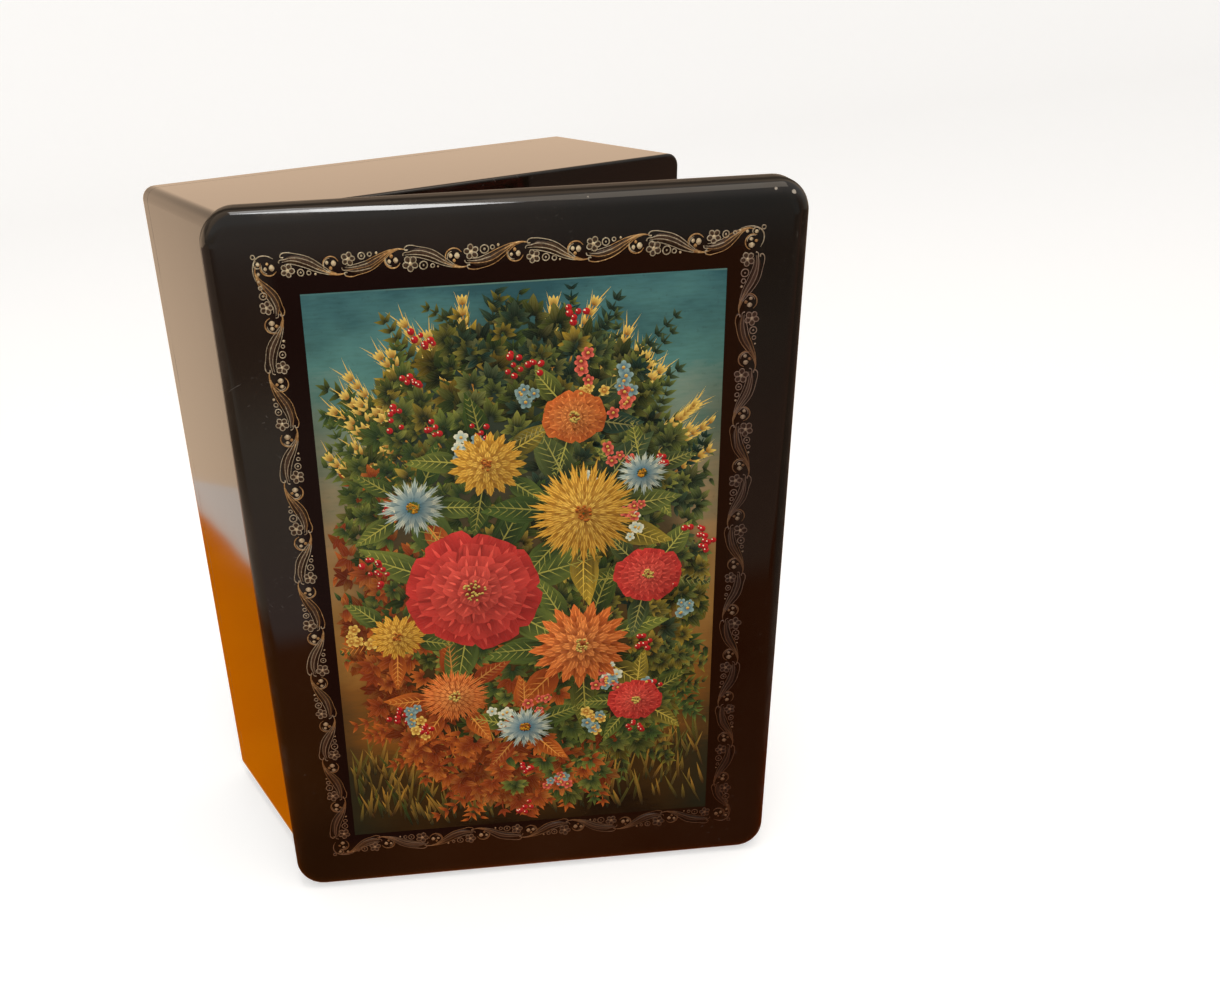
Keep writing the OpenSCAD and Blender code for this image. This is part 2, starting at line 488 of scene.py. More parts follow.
def gold_pearl(curve, place, centre, radius):
    """A round dot: a short fat stroke."""
    half = radius * 0.42
    points = [
        (centre[0] - half * 1.9, centre[1], radius * 0.3),
        (centre[0] - half, centre[1], radius * 0.86),
        (centre[0], centre[1], radius),
        (centre[0] + half, centre[1], radius * 0.86),
        (centre[0] + half * 1.9, centre[1], radius * 0.3),
    ]
    gold_stroke(curve, place, points)


def pale_flower(paints, place, centre, radius):
    """Five ring petals with a brown ground, round a pearl."""
    start = brush_hand.uniform(0, math.tau)
    for petal in range(5):
        angle = start + petal * math.tau / 5
        along = centre[0] + radius * 0.62 * math.cos(angle)
        out = centre[1] + radius * 0.62 * math.sin(angle)
        size = radius * brush_hand.uniform(0.35, 0.41)
        gold_ring(paints["pale"], place, (along, out), size, 0.12, 1.1, angle)
        gold_pearl(paints["wash"], place, (along, out), size)
    gold_pearl(paints["dots"], place, centre, radius * 0.3)


def gold_plume(paints, place, side):
    """Strands that start apart in a curl and run together into one thick stroke, over a brown wash.

    Every other plume is pale nearly to its end.
    """
    wash = [
        (3.9, side * 1.35, 0.15),
        (6.0, side * 1.5, 0.9),
        (9.3, side * 0.78, 1.1),
        (12.2, side * -0.85, 0.8),
        (14.3, side * -1.98, 0.4),
        (16.3, side * -2.42, 0.05),
    ]
    gold_stroke(paints["wash"], place, wash)
    strands = brush_hand.choice((4, 4, 5))
    for strand in range(strands):
        share = 2 * strand / (strands - 1) - 1
        jitter = brush_hand.uniform(-0.16, 0.16)
        sway = brush_hand.uniform(-0.1, 0.1)
        line = by_hand(FINE_LINE, 0.2)
        points = [
            (3.4 + 0.9 * abs(share) + jitter, side * (1.25 + 0.7 * share), 0.04),
            (6.0 + 0.3 * share, side * (1.5 + 1.0 * share + jitter), line),
            (9.3 + 0.6 * share, side * (0.78 + 1.16 * share + sway), line),
            (12.2 + 0.5 * share, side * (-0.85 + 0.8 * share + sway), line),
            (14.3 + 0.2 * share, side * (-1.98 + 0.34 * share), 0.1),
            (16.3 + jitter, side * (-2.42 + 0.1 * share), 0.04),
        ]
        if strand == strands - 1:
            points[1] = (6.5, side * (2.85 + jitter), line)
            points[0] = (5.0, side * 3.1, 0.11)
            points.insert(0, (3.85, side * 2.85, 0.13))
            points.insert(0, (3.6, side * 2.2, 0.14))
            points.insert(0, (4.25, side * 2.0, 0.2))
        if strand == strands // 2:
            points[0] = (4.3, side * 1.6, FINE_LINE)
            points.insert(0, (3.3, side * 1.45, 0.1))
            points.insert(0, (3.1, side * 0.9, 0.14))
        change = len(points) - 2 if side > 0 else 2
        gold_stroke(paints["pale"], place, points[:change + 1])
        gold_stroke(paints["scroll"], place, points[change:])
    thick = [
        (11.6, side * -0.6, 0.04),
        (13.4, side * -1.65, 0.15),
        (15.2, side * -2.32, 0.25),
        (16.8, side * -2.4, 0.16),
        (18.2, side * -2.05, 0.04),
    ]
    gold_stroke(paints["scroll"], place, thick)


def gold_hollow(paints, place, side):
    """The crescents, pearls, flower, ring and dot that fill the hollow beside a plume."""
    scroll = paints["scroll"]
    pale = paints["pale"]
    dots = paints["dots"]
    first, last = (150, 330) if side > 0 else (210, 30)
    last += brush_hand.uniform(-22, 22)
    gold_arc(scroll, place, (0.75, side * 0.1), by_hand(1.9, 0.06), first, last, by_hand(0.12, 0.25), 7)
    inner = by_hand(1.42, 0.06)
    gold_arc(pale, place, (0.55, side * 0.1), inner, first + side * 5, last - side * 70, 0.08, 6)
    gold_pearl(dots, place, near_by(-0.05, side * -0.3), by_hand(0.5, 0.14))
    gold_pearl(dots, place, near_by(1.4, side * -0.1), by_hand(0.7, 0.12))
    gold_pearl(scroll, place, near_by(0.6, side * 0.85), by_hand(0.44, 0.14))
    pale_flower(paints, place, near_by(4.75, side * -0.95), by_hand(1.62, 0.09))
    eye = near_by(7.75, side * -1.4)
    radius = by_hand(0.82, 0.14)
    long = by_hand(1.0, 0.12)
    gold_ring(pale, place, eye, radius, 0.13, long, brush_hand.uniform(0, math.pi))
    gold_pearl(pale, place, eye, by_hand(0.28, 0.2))
    gold_ring(pale, place, near_by(9.6, side * -1.72), by_hand(0.46, 0.15), 0.12)
    gold_pearl(dots, place, near_by(11.0, side * -2.0), by_hand(0.3, 0.2))


def gold_corner(paints, place):
    """A curl, a small ring at the outer corner, and a pearl in a crescent, where two sides meet."""
    pale = paints["pale"]
    curl = [
        (-2.5, -2.9, 0.05),
        (-2.85, -1.2, 0.11),
        (-2.6, 0.9, 0.13),
        (-1.6, 2.3, 0.15),
        (0.3, 2.65, 0.13),
        (2.0, 1.9, 0.05),
    ]
    gold_stroke(pale, place, curl)
    gold_ring(pale, place, (-2.5, 2.5), 0.46, 0.12)
    gold_arc(pale, place, (-1.7, 0.75), 0.84, 100, 320, 0.1, 6)
    gold_pearl(paints["dots"], place, (-1.6, 0.85), 0.5)
    gold_pearl(paints["dots"], place, (-1.75, -1.35), 0.4)


def as_mesh(curve, name):
    """The mesh that a curve draws."""
    drawn = bpy.data.objects.new(name + "_path", curve)
    scene.collection.objects.link(drawn)
    seen = drawn.evaluated_get(bpy.context.evaluated_depsgraph_get())
    mesh = bpy.data.meshes.new_from_object(seen)
    mesh.name = name
    bpy.data.objects.remove(drawn)
    bpy.data.curves.remove(curve)
    return mesh


def gold_finish(name, tones, foot_reflection_tone, side_shade_tone):
    """Metal powder paint in three tones, worn in specks, with a painted reflection that makes it browner at
    the foot of the lid and painted shade at its sides and upper right.
    """
    material, shader, spot = new_finish(name, {"IOR": 1.5, "Coat Weight": 0.3, "Coat Roughness": 0.1})
    spot = lid_frame(spot)
    patch = spot.noise(150, 3.0)
    speck = spot.noise(2000, 2.0)
    x, _, z = spot.axes()
    # Painted reflection and shade: browner at the foot, darker on the side strips, dimmer towards the upper
    # right
    low = z.between(0.12, 0.01)
    below_top = z.between(0.182, 0.172)
    right = (x.between(0.045, 0.053) * below_top * 0.8).most(x.between(0.02, 0.05) * 0.25)
    left = x.between(-0.045, -0.053) * below_top * 0.25
    upper_right_shade = x.between(-0.03, 0.06) * z.between(0.175, 0.10)
    dark, middle, light = tones
    colour = patch.between(0.34, 0.64).tint(dark, middle)
    colour = speck.between(0.5, 0.74).tint(colour, light)
    colour = (speck.between(0.44, 0.3) * 0.6).tint(colour, dark, "MULTIPLY")
    colour = right.most(left).tint(colour, side_shade_tone)
    colour = (low * 0.85).tint(colour, foot_reflection_tone)
    colour = (upper_right_shade * 0.5).tint(colour, rgb(0.12, 0.08, 0.04), "MULTIPLY")
    drive(shader, "Base Color", colour)
    drive(shader, "Metallic", 0.2 + 0.25 * patch)
    drive(shader, "Roughness", 0.32 + 0.2 * speck)
    drive_bump(shader, speck, 0.00002)
    return material


# Each paint: its dark, middle and light tones, then a painted reflection tone for the lid's foot and a
# painted shade tone for its sides
GOLD_TONES = {
    "wash": (
        (rgb(0.05, 0.024, 0.010), rgb(0.075, 0.037, 0.015), rgb(0.12, 0.065, 0.03)),
        rgb(0.050, 0.018, 0.006),
        rgb(0.055, 0.021, 0.011),
    ),
    "scroll": (
        (rgb(0.40, 0.20, 0.06), rgb(0.58, 0.31, 0.10), rgb(0.76, 0.50, 0.21)),
        rgb(0.18, 0.06, 0.015),
        rgb(0.18, 0.08, 0.04),
    ),
    "pale": (
        (rgb(0.42, 0.33, 0.20), rgb(0.54, 0.43, 0.27), rgb(0.76, 0.65, 0.44)),
        rgb(0.185, 0.062, 0.017),
        rgb(0.19, 0.095, 0.075),
    ),
    "dots": (
        (rgb(0.60, 0.45, 0.26), rgb(0.74, 0.58, 0.34), rgb(0.86, 0.72, 0.45)),
        rgb(0.33, 0.15, 0.06),
        rgb(0.30, 0.19, 0.13),
    ),
}
GOLD_PIECES = {
    "wash": ("brown_wash", 0.0, 0.012),
    "scroll": ("gold_scroll", 0.0, GOLD_FLATNESS),
    "pale": ("pale_flowers", 0.015, GOLD_FLATNESS),
    "dots": ("pale_pearls", 0.03, GOLD_FLATNESS * 0.6),
}


def gold_border():
    paints = {paint: gold_lines(paint) for paint in GOLD_PIECES}
    width = BAND_RIGHT - BAND_LEFT
    height = BAND_HIGH - BAND_LOW
    sides = (
        ((BAND_LEFT, BAND_HIGH), 0.0, width, HALF_WAVES_ACROSS),
        ((BAND_RIGHT, BAND_HIGH), -math.pi / 2, height, HALF_WAVES_UP),
        ((BAND_RIGHT, BAND_LOW), math.pi, width, HALF_WAVES_ACROSS),
        ((BAND_LEFT, BAND_LOW), math.pi / 2, height, HALF_WAVES_UP),
    )
    for corner, turn, length, count in sides:
        run = Matrix.Translation((*corner, 0)) @ Matrix.Rotation(turn, 4, "Z")
        gold_corner(paints, run)
        stretch = length / count / MOTIF_LENGTH
        for wave in range(count):
            side = 1 if wave % 2 == 0 else -1
            place = run @ Matrix.Translation((wave * length / count, 0, 0))
            place = place @ Matrix.Diagonal((stretch, 1, 1, 1))
            gold_hollow(paints, place, side)
            if wave == count - 1:
                place = place @ Matrix.Diagonal((0.8, 1, 1, 1))
            gold_plume(paints, place, side)
    for paint, (name, lift, flatness) in GOLD_PIECES.items():
        mesh = as_mesh(paints[paint], name)
        flat = Matrix.Diagonal((1, 1, flatness, 1))
        mesh.transform(on_lid @ Matrix.Translation((0, 0, GOLD_LIFT + lift)) @ flat)
        on_body(mesh, name, "lid", gold_finish(name + "_paint", *GOLD_TONES[paint]))


gold_border()


# Painted flower panel on the lid, in millimetres

PANEL_CORNERS = ((18.4, 19.2), (121.3, 18.4), (120.3, 175.8), (21.4, 175.8))
PANEL_MARGIN = 0.7
HEART = Vector((70.0, 97.0))
BOUQUET_HALF_WIDTH = 46.0
BOUQUET_HALF_HEIGHT = 69.0
GROUND_LIFT = 0.05
MARK_THICKNESS = 0.02
RING_RISE = 0.004
LEVEL_JITTER = 0.0035
MAP_ORIGIN = Vector((12.0, 12.0))
MAP_SIZE = 168.0
SPRAY_LEVEL = 0.075
DARK_FOLIAGE_LEVEL = 0.1
FOLIAGE_LEVEL = 0.112
LEAF_LEVEL = 0.125
SMALL_FLOWER_LEVEL = 0.142
MIDDLE_FLOWER_LEVEL = 0.145
BIG_FLOWER_LEVEL = 0.16
GRASS_BLADES = 420
STRAW_EARS = 34
SPRIGS = 110
FOLIAGE_TUFTS = 420
FLOWER_BUNCHES = 26
BERRY_BUNCHES = 22

painter = random.Random(29)
mark_mesh = bpy.data.meshes.new("one_mark")


def pigment(red, green, blue):
    """A colour as a screen shows it, from 0 to 255, in linear light."""
    return Vector([((part / 255 + 0.055) / 1.055) ** 2.4 for part in (red, green, blue)])


def blend(first, second, share):
    return first.lerp(second, min(1.0, max(0.0, share)))


def heading(angle):
    """The way a mark points that is turned by angle from straight up."""
    return Vector((-math.sin(angle), math.cos(angle)))


def on_panel(point):
    """Whether a point is inside the panel's four edges."""
    for start, end in zip(PANEL_CORNERS, PANEL_CORNERS[1:] + PANEL_CORNERS[:1]):
        edge = Vector(end) - Vector(start)
        if edge.cross(point - Vector(start)) < PANEL_MARGIN * edge.length:
            return False
    return True


class Stamp:
    """A flat brush mark 1 long and 1 wide, from its root up to its tip."""

    def __init__(self, bm, light_sides=0.3):
        move_new(bm, bmesh.ops.extrude_face_region(bm, geom=bm.faces[:]), (0, 0, 1))
        bmesh.ops.recalc_face_normals(bm, faces=bm.faces)
        bm.faces.sort(key=lambda face: face.calc_center_median().z)
        strokes = bm.loops.layers.uv.new("stroke")
        for face in bm.faces:
            for loop in face.loops:
                loop[strokes].uv = loop.vert.co.xy
        bm.verts.layers.float_color.new("paint")
        self.bm = bm
        sides = light_sides * 2
        self.shares = [vert.co.y * (1 - light_sides) + sides * abs(vert.co.x) for vert in bm.verts]


def drop_stamp(points, pinch, bend=0.0):
    """A drop: round at the root, and the more pointed at its tip the higher pinch is."""
    bm = bmesh.new()
    bmesh.ops.create_circle(bm, cap_ends=True, segments=points, radius=0.5)
    bmesh.ops.translate(bm, verts=bm.verts, vec=(0, 0.5, 0))
    for vert in bm.verts:
        along = vert.co.y
        vert.co.x = vert.co.x * (1.0001 - along) ** pinch * (1 + 0.9 * pinch) + bend * along * along
    return Stamp(bm, 0.0)


def sheet_stamp(across, along, outline, bend=0.0, ruffle=0.0):
    """A broad petal or leaf from a grid: outline gives its width from root to tip."""
    bm = bmesh.new()
    bmesh.ops.create_grid(bm, x_segments=across, y_segments=along, size=0.5)
    bmesh.ops.translate(bm, verts=bm.verts, vec=(0, 0.5, 0))
    for vert in bm.verts:
        side = vert.co.x * 2
        up = vert.co.y
        vert.co.x = side * 0.5 * outline(up) + bend * up * up
        vert.co.y = up - up * ruffle * (side * side + 0.35 * math.cos(side * 9.4))
    return Stamp(bm)


def petal_outline(up):
    return 0.2 + 0.8 * math.sin(math.pi * min(1.0, up * 0.72 + 0.04)) ** 0.8


def leaf_outline(up):
    return 0.03 + 1.05 * math.sin(math.pi * up ** 0.72) * (1 - 0.25 * up)


DAB = drop_stamp(8, 0.45)
SLIM = drop_stamp(8, 0.9)
DOT = drop_stamp(8, 0.0)
BENT = {-1: drop_stamp(12, 0.7, -0.22), 0: drop_stamp(12, 0.7, 0.0), 1: drop_stamp(12, 0.7, 0.22)}
LEAVES = {bend: sheet_stamp(4, 8, leaf_outline, 0.22 * bend) for bend in (-1, 0, 1)}
PETAL = sheet_stamp(4, 6, petal_outline, 0.0, 0.11)


class Coat:
    """Brush marks laid over one another in one piece, each a little higher than what it covers."""

    def __init__(self, level):
        self.bm = bmesh.new()
        self.level = level

    def mark(self, stamp, root, angle, length, width, first, last, rise=0.0):
        """A mark from root, turned by angle from straight up, in paint from first to last."""
        if not (on_panel(root) and on_panel(root + heading(angle) * length)):
            return
        stamp.bm.to_mesh(mark_mesh)
        height = self.level + rise + painter.uniform(0, LEVEL_JITTER)
        place = Matrix.Translation((root.x, root.y, height)) @ Matrix.Rotation(angle, 4, "Z")
        mark_mesh.transform(place @ Matrix.Diagonal((width, length, MARK_THICKNESS, 1)))
        seed = painter.random()
        colours = []
        for share in stamp.shares:
            colours.extend((*blend(first, last, share ** 1.3), seed))
        mark_mesh.attributes["paint"].data.foreach_set("color", colours)
        self.bm.from_mesh(mark_mesh)

    def dry(self, name, material):
        """Ends the piece, and puts it on the lid with a flat map of the whole panel."""
        flat_map = self.bm.loops.layers.uv.new("OFBake")
        for face in self.bm.faces:
            for loop in face.loops:
                loop[flat_map].uv = (loop.vert.co.xy - MAP_ORIGIN) / MAP_SIZE
        mesh = mesh_from(self.bm, name)
        mesh.transform(on_lid)
        on_body(mesh, name, "lid", material)


# Pigments

LEAF_NIGHT = pigment(22, 36, 30)
LEAF_DEEP = pigment(34, 54, 36)
LEAF_BLUE = pigment(30, 70, 72)
LEAF_GREEN = pigment(72, 98, 44)
LEAF_LIGHT = pigment(134, 146, 66)
LEAF_YELLOW = pigment(206, 172, 58)
LEAF_RUST = pigment(150, 62, 30)
LEAF_ORANGE = pigment(214, 118, 44)
STRAW = pigment(214, 160, 66)
STRAW_DARK = pigment(134, 84, 28)
CRIMSON = pigment(120, 14, 22)
SCARLET = pigment(216, 38, 44)
ROSE = pigment(246, 120, 106)
GOLD = pigment(226, 160, 36)
GOLD_DEEP = pigment(150, 78, 16)
LEMON = pigment(248, 220, 120)
TANGERINE = pigment(226, 96, 28)
EMBER = pigment(122, 34, 14)
APRICOT = pigment(250, 186, 112)
CHALK = pigment(236, 232, 214)
MIST = pigment(150, 180, 190)
SKY = pigment(94, 140, 170)
UMBER = pigment(48, 28, 16)


# What is painted: leaves, sprays and flowers

def tuft(coat, centre, aim, size, first, last, count=7):
    """A spray of small leaf dabs from one point."""
    for leaf in range(count):
        angle = aim + (leaf / (count - 1) - 0.5) * 3.6 + painter.uniform(-0.2, 0.2)
        root = centre + heading(angle) * size * 0.12
        length = size * painter.uniform(0.75, 1.15) * (1 - 0.1 * abs(angle - aim))
        shade = painter.uniform(-0.25, 0.25)
        tip = blend(last, first, max(0, shade)) if shade > 0 else blend(last, LEMON, -shade * 0.5)
        coat.mark(DAB, root, angle, length, length * painter.uniform(0.4, 0.52), first, tip)


def sprig(coat, root, angle, length, leaf, first, last, curl=0.0, pairs=6):
    """A thin stem with leaflets in pairs and one at its end."""
    point = root.copy()
    step = length / pairs
    for pair in range(pairs):
        coat.mark(SLIM, point, angle, step * 1.15, 0.42, first, last)
        point = point + heading(angle) * step
        angle += curl / pairs
        size = leaf * (1.15 - 0.6 * pair / pairs)
        for side in (-1, 1):
            turn = angle + side * painter.uniform(0.75, 1.0)
            coat.mark(SLIM, point, turn, size, size * 0.34, first, last, 0.002)
    coat.mark(SLIM, point, angle, leaf * 0.7, leaf * 0.24, first, last, 0.002)


def straw(coat, root, angle, length, curl=0.0):
    """An ear of straw: a stalk, grains in two rows and long awns."""
    point = root.copy()
    steps = 12
    step = length / steps
    for part in range(steps):
        coat.mark(SLIM, point, angle, step * 1.3, 0.4, STRAW_DARK, STRAW)
        point = point + heading(angle) * step
        angle += curl / steps
        if part < steps / 2:
            continue
        for side in (-1, 1):
            turn = angle + side * 0.42
            coat.mark(DAB, point, turn, 2.6, 0.95, STRAW_DARK, LEMON, 0.003)
            coat.mark(SLIM, point, angle + side * 0.3, 6.2, 0.22, STRAW, LEMON, 0.001)
    coat.mark(DAB, point, angle, 2.6, 0.95, STRAW_DARK, LEMON, 0.003)


def big_leaf(coat, root, angle, length, width, first, last, vein):
    """A broad leaf with a midrib and side veins."""
    bend = painter.choice((-1, 0, 1))
    coat.mark(LEAVES[bend], root, angle, length, width, first, last)
    coat.mark(BENT[bend], root, angle, length * 0.97, 0.34, vein, vein, 0.006)
    sideways = heading(angle - math.pi / 2)
    for pair in range(1, 7):
        share = pair / 8 + 0.08
        middle = root + heading(angle) * length * share + sideways * (0.22 * bend * share * share * width)
        for side in (-1, 1):
            turn = angle + side * (0.86 - 0.25 * share)
            reach = width * 0.52 * math.sin(math.pi * share ** 0.72)
            coat.mark(BENT[-side], middle, turn, reach, 0.2, vein, blend(last, vein, 0.4), 0.005)


def petal_ring(coat, stamp, centre, count, inner, length, width, first, last, rise, light=None, tilt=1.0):
    """A ring of petals, lighter towards the upper left, with fine light strokes near their tips."""
    start = painter.uniform(0, math.tau)
    for petal in range(count):
        angle = start + petal * math.tau / count + painter.uniform(-0.35, 0.35) / count
        out = heading(angle)
        lean = Vector((out.x, out.y * tilt))
        turn = math.atan2(-lean.x, lean.y)
        reach = length * lean.length * painter.uniform(0.92, 1.08)
        root = centre + lean * inner
        lit = 0.86 + 0.24 * (0.6 * out.y - 0.5 * out.x) + painter.uniform(-0.07, 0.07)
        coat.mark(stamp, root, turn, reach, width, first * lit, last * lit, rise)
        if light:
            for stroke in range(3):
                offset = (stroke - 1) * 0.24 * width
                near = root + heading(turn) * reach * painter.uniform(0.5, 0.6)
                near = near + heading(turn - math.pi / 2) * offset
                away = turn - (stroke - 1) * 0.18
                long = reach * painter.uniform(0.26, 0.36)
                touch = blend(last, light, 0.5) * lit
                coat.mark(SLIM, near, away, long, 0.05 * width + 0.14, last * lit, touch, rise + 0.0036)


def flower(coat, centre, radius, rings, stamp, colours, tilt=1.0):
    """Rings of petals from the outside in, and dots of pollen."""
    dark, mid, pale, pollen = colours
    for place, (count, inner, length, width) in enumerate(rings):
        depth = place / max(1, len(rings) - 1)
        first = dark * (0.5 + 0.3 * depth)
        last = blend(mid, pale, 0.2 + 0.35 * depth)
        size = (inner * radius, length * radius, width * radius)
        petal_ring(coat, stamp, centre, count, *size, first, last, place * 2 * RING_RISE, pale, tilt)
    top = len(rings) * 2 * RING_RISE
    for grain in range(int(10 + radius)):
        angle = painter.uniform(0, math.tau)
        out = heading(angle) * radius * 0.17 * math.sqrt(painter.random())
        size = painter.uniform(0.55, 0.95)
        rise = top + 0.002 + 0.004 * painter.random()
        coat.mark(DOT, centre + out - Vector((0, size / 2)), 0, size, size, UMBER, pollen, rise)


def star_flower(coat, centre, radius, first, last, pollen):
    """A small flower of five round petals."""
    start = painter.uniform(0, math.tau)
    for petal in range(5):
        angle = start + petal * math.tau / 5
        root = centre + heading(angle) * radius * 0.12
        coat.mark(DOT, root, angle, radius * 0.9, radius * 0.78, first, last)
    size = radius * 0.5
    coat.mark(DOT, centre - Vector((0, size / 2)), 0, size, size, GOLD_DEEP, pollen, 0.005)


def berry(coat, centre, size):
    """A round berry with a glint."""
    coat.mark(DOT, centre - Vector((0, size / 2)), 0, size, size, CRIMSON, SCARLET)
    glint = centre + Vector((-0.18, 0.08)) * size
    coat.mark(DOT, glint, 0.5, size * 0.26, size * 0.2, CHALK, CHALK, 0.004)


# Rings of petals from the outside in: how many, and their start, length and width as shares of the radius

ROSE_RINGS = (
    (8, 0.34, 0.68, 0.74),
    (7, 0.22, 0.6, 0.66),
    (6, 0.12, 0.5, 0.56),
    (5, 0.05, 0.38, 0.44),
    (4, 0.0, 0.25, 0.3),
)
ASTER_RINGS = (
    (28, 0.34, 0.68, 0.15),
    (24, 0.25, 0.60, 0.145),
    (20, 0.16, 0.5, 0.14),
    (15, 0.08, 0.4, 0.13),
    (10, 0.02, 0.28, 0.11),
)
DAHLIA_RINGS = (
    (17, 0.36, 0.66, 0.27),
    (14, 0.25, 0.56, 0.26),
    (11, 0.15, 0.45, 0.24),
    (8, 0.06, 0.34, 0.2),
    (5, 0.0, 0.22, 0.17),
)
DAISY_RINGS = ((17, 0.2, 0.82, 0.2), (13, 0.18, 0.66, 0.17))

RED_PAINTS = (CRIMSON, SCARLET, ROSE, LEMON)
GOLD_PAINTS = (GOLD_DEEP, GOLD, LEMON, LEAF_ORANGE)
EMBER_PAINTS = (EMBER, TANGERINE, APRICOT, LEMON)
WHITE_PAINTS = (SKY, MIST, CHALK, GOLD)
SMALL_PAINTS = ((SKY * 0.6, MIST), (MIST, CHALK), (GOLD_DEEP, LEMON), (CRIMSON, ROSE))

BIG_FLOWERS = (
    ((57.0, 96.0), 18.0, ROSE_RINGS, PETAL, RED_PAINTS, 0.94),
    ((86.0, 116.0), 14.0, ASTER_RINGS, SLIM, GOLD_PAINTS, 1.0),
    ((85.0, 77.0), 13.5, DAHLIA_RINGS, DAB, EMBER_PAINTS, 0.95),
)
MIDDLE_FLOWERS = (
    ((50.0, 64.0), 9.5, ASTER_RINGS, SLIM, EMBER_PAINTS, 0.9),
    ((62.0, 131.0), 9.5, DAHLIA_RINGS, DAB, GOLD_PAINTS, 0.9),
    ((103.0, 97.0), 9.0, ROSE_RINGS, PETAL, RED_PAINTS, 0.85),
    ((69.0, 52.0), 8.0, DAISY_RINGS, SLIM, WHITE_PAINTS, 0.85),
    ((43.0, 121.0), 8.5, DAISY_RINGS, SLIM, WHITE_PAINTS, 0.95),
    ((84.0, 142.0), 8.0, ROSE_RINGS, PETAL, EMBER_PAINTS, 0.8),
    ((36.0, 84.0), 7.5, DAHLIA_RINGS, DAB, GOLD_PAINTS, 0.9),
    ((100.0, 58.0), 7.5, ROSE_RINGS, PETAL, RED_PAINTS, 0.85),
    ((101.0, 126.0), 6.5, DAISY_RINGS, SLIM, WHITE_PAINTS, 0.9),
)


def bouquet_spot(low, high):
    """A random point from low to high of the way out from the bouquet's heart, and that way."""
    angle = painter.uniform(0, math.tau)
    share = math.sqrt(painter.uniform(low * low, high * high))
    out = heading(angle)
    reach = Vector((out.x * BOUQUET_HALF_WIDTH, out.y * BOUQUET_HALF_HEIGHT))
    return HEART + reach * share, angle


def leaf_paints(point):
    """Dark and light paint for leaves, which changes round the bouquet."""
    place = (point.x - HEART.x) / BOUQUET_HALF_WIDTH + (point.y - HEART.y) / BOUQUET_HALF_HEIGHT
    place += painter.uniform(-0.5, 0.5)
    if place < -0.62:
        return LEAF_RUST * 0.55, blend(LEAF_RUST, LEAF_ORANGE, painter.random())
    if place < 0.1:
        return LEAF_DEEP, blend(LEAF_GREEN, LEAF_LIGHT, painter.random())
    if place < 0.75:
        return LEAF_NIGHT, blend(LEAF_GREEN, LEAF_YELLOW, painter.random() ** 2)
    return LEAF_NIGHT, blend(LEAF_BLUE, LEAF_LIGHT, painter.random())


def paint_sprays():
    """Straw, sprigs and grass behind the bouquet."""
    coat = Coat(SPRAY_LEVEL)
    for blade in range(GRASS_BLADES):
        root = Vector((painter.uniform(20, 121), painter.uniform(20, 42)))
        angle = painter.uniform(-0.5, 0.5)
        tone = painter.random()
        first = blend(LEAF_NIGHT, UMBER, tone)
        last = blend(LEAF_GREEN, STRAW, painter.random())
        long = painter.uniform(5, 16)
        bend = painter.choice((-1, 1))
        coat.mark(BENT[bend], root, angle, long, painter.uniform(0.5, 1.0), first, last * 0.8)
    for ear in range(STRAW_EARS):
        angle = painter.choice((-1, 1)) * painter.uniform(0.1, 1.15)
        root = HEART + Vector((-math.sin(angle) * 30, math.cos(angle) * 46))
        straw(coat, root, angle * 0.8, painter.uniform(20, 31), painter.uniform(-0.4, 0.4))
    for stem in range(SPRIGS):
        point, angle = bouquet_spot(0.72, 0.98)
        first, last = leaf_paints(point)
        long = painter.uniform(11, 19)
        leaflet = painter.uniform(3.2, 5)
        sprig(coat, point, angle, long, leaflet, first, last, painter.uniform(-0.9, 0.9))
    return coat


def paint_foliage():
    """The mass of small leaves that the flowers sit in."""
    coat = Coat(DARK_FOLIAGE_LEVEL)
    for clump in range(FOLIAGE_TUFTS):
        point, angle = bouquet_spot(0.0, 1.02)
        first, last = leaf_paints(point)
        tuft(coat, point, angle, painter.uniform(4.0, 5.6), first * 0.6, last * 0.42)
    coat.level = FOLIAGE_LEVEL
    for clump in range(FOLIAGE_TUFTS):
        point, angle = bouquet_spot(0.2, 1.04)
        first, last = leaf_paints(point)
        tuft(coat, point, angle, painter.uniform(3.2, 4.6), first, last * painter.uniform(0.6, 1.0))
    return coat


def paint_leaves():
    """Large leaves round the flowers."""
    coat = Coat(LEAF_LEVEL)
    for centre, radius, *_ in BIG_FLOWERS + MIDDLE_FLOWERS:
        count = 7 if radius > 12 else 5
        start = painter.uniform(0, math.tau)
        for leaf in range(count):
            angle = start + leaf * math.tau / count + painter.uniform(-0.25, 0.25)
            root = Vector(centre) + heading(angle) * radius * 0.72
            long = radius * painter.uniform(0.75, 0.95) + 4.5
            first, last = leaf_paints(root)
            coat.level = LEAF_LEVEL + 0.008 * painter.random()
            vein = blend(last, LEMON, 0.22)
            big_leaf(coat, root, angle, long, long * painter.uniform(0.42, 0.54), first, last, vein)
    return coat


def paint_blossoms():
    """The flowers of the bouquet."""
    coat = Coat(MIDDLE_FLOWER_LEVEL)
    for flowers, level in ((MIDDLE_FLOWERS, MIDDLE_FLOWER_LEVEL), (BIG_FLOWERS, BIG_FLOWER_LEVEL)):
        coat.level = level
        for centre, radius, rings, stamp, paints, tilt in flowers:
            flower(coat, Vector(centre), radius, rings, stamp, paints, tilt)
    return coat


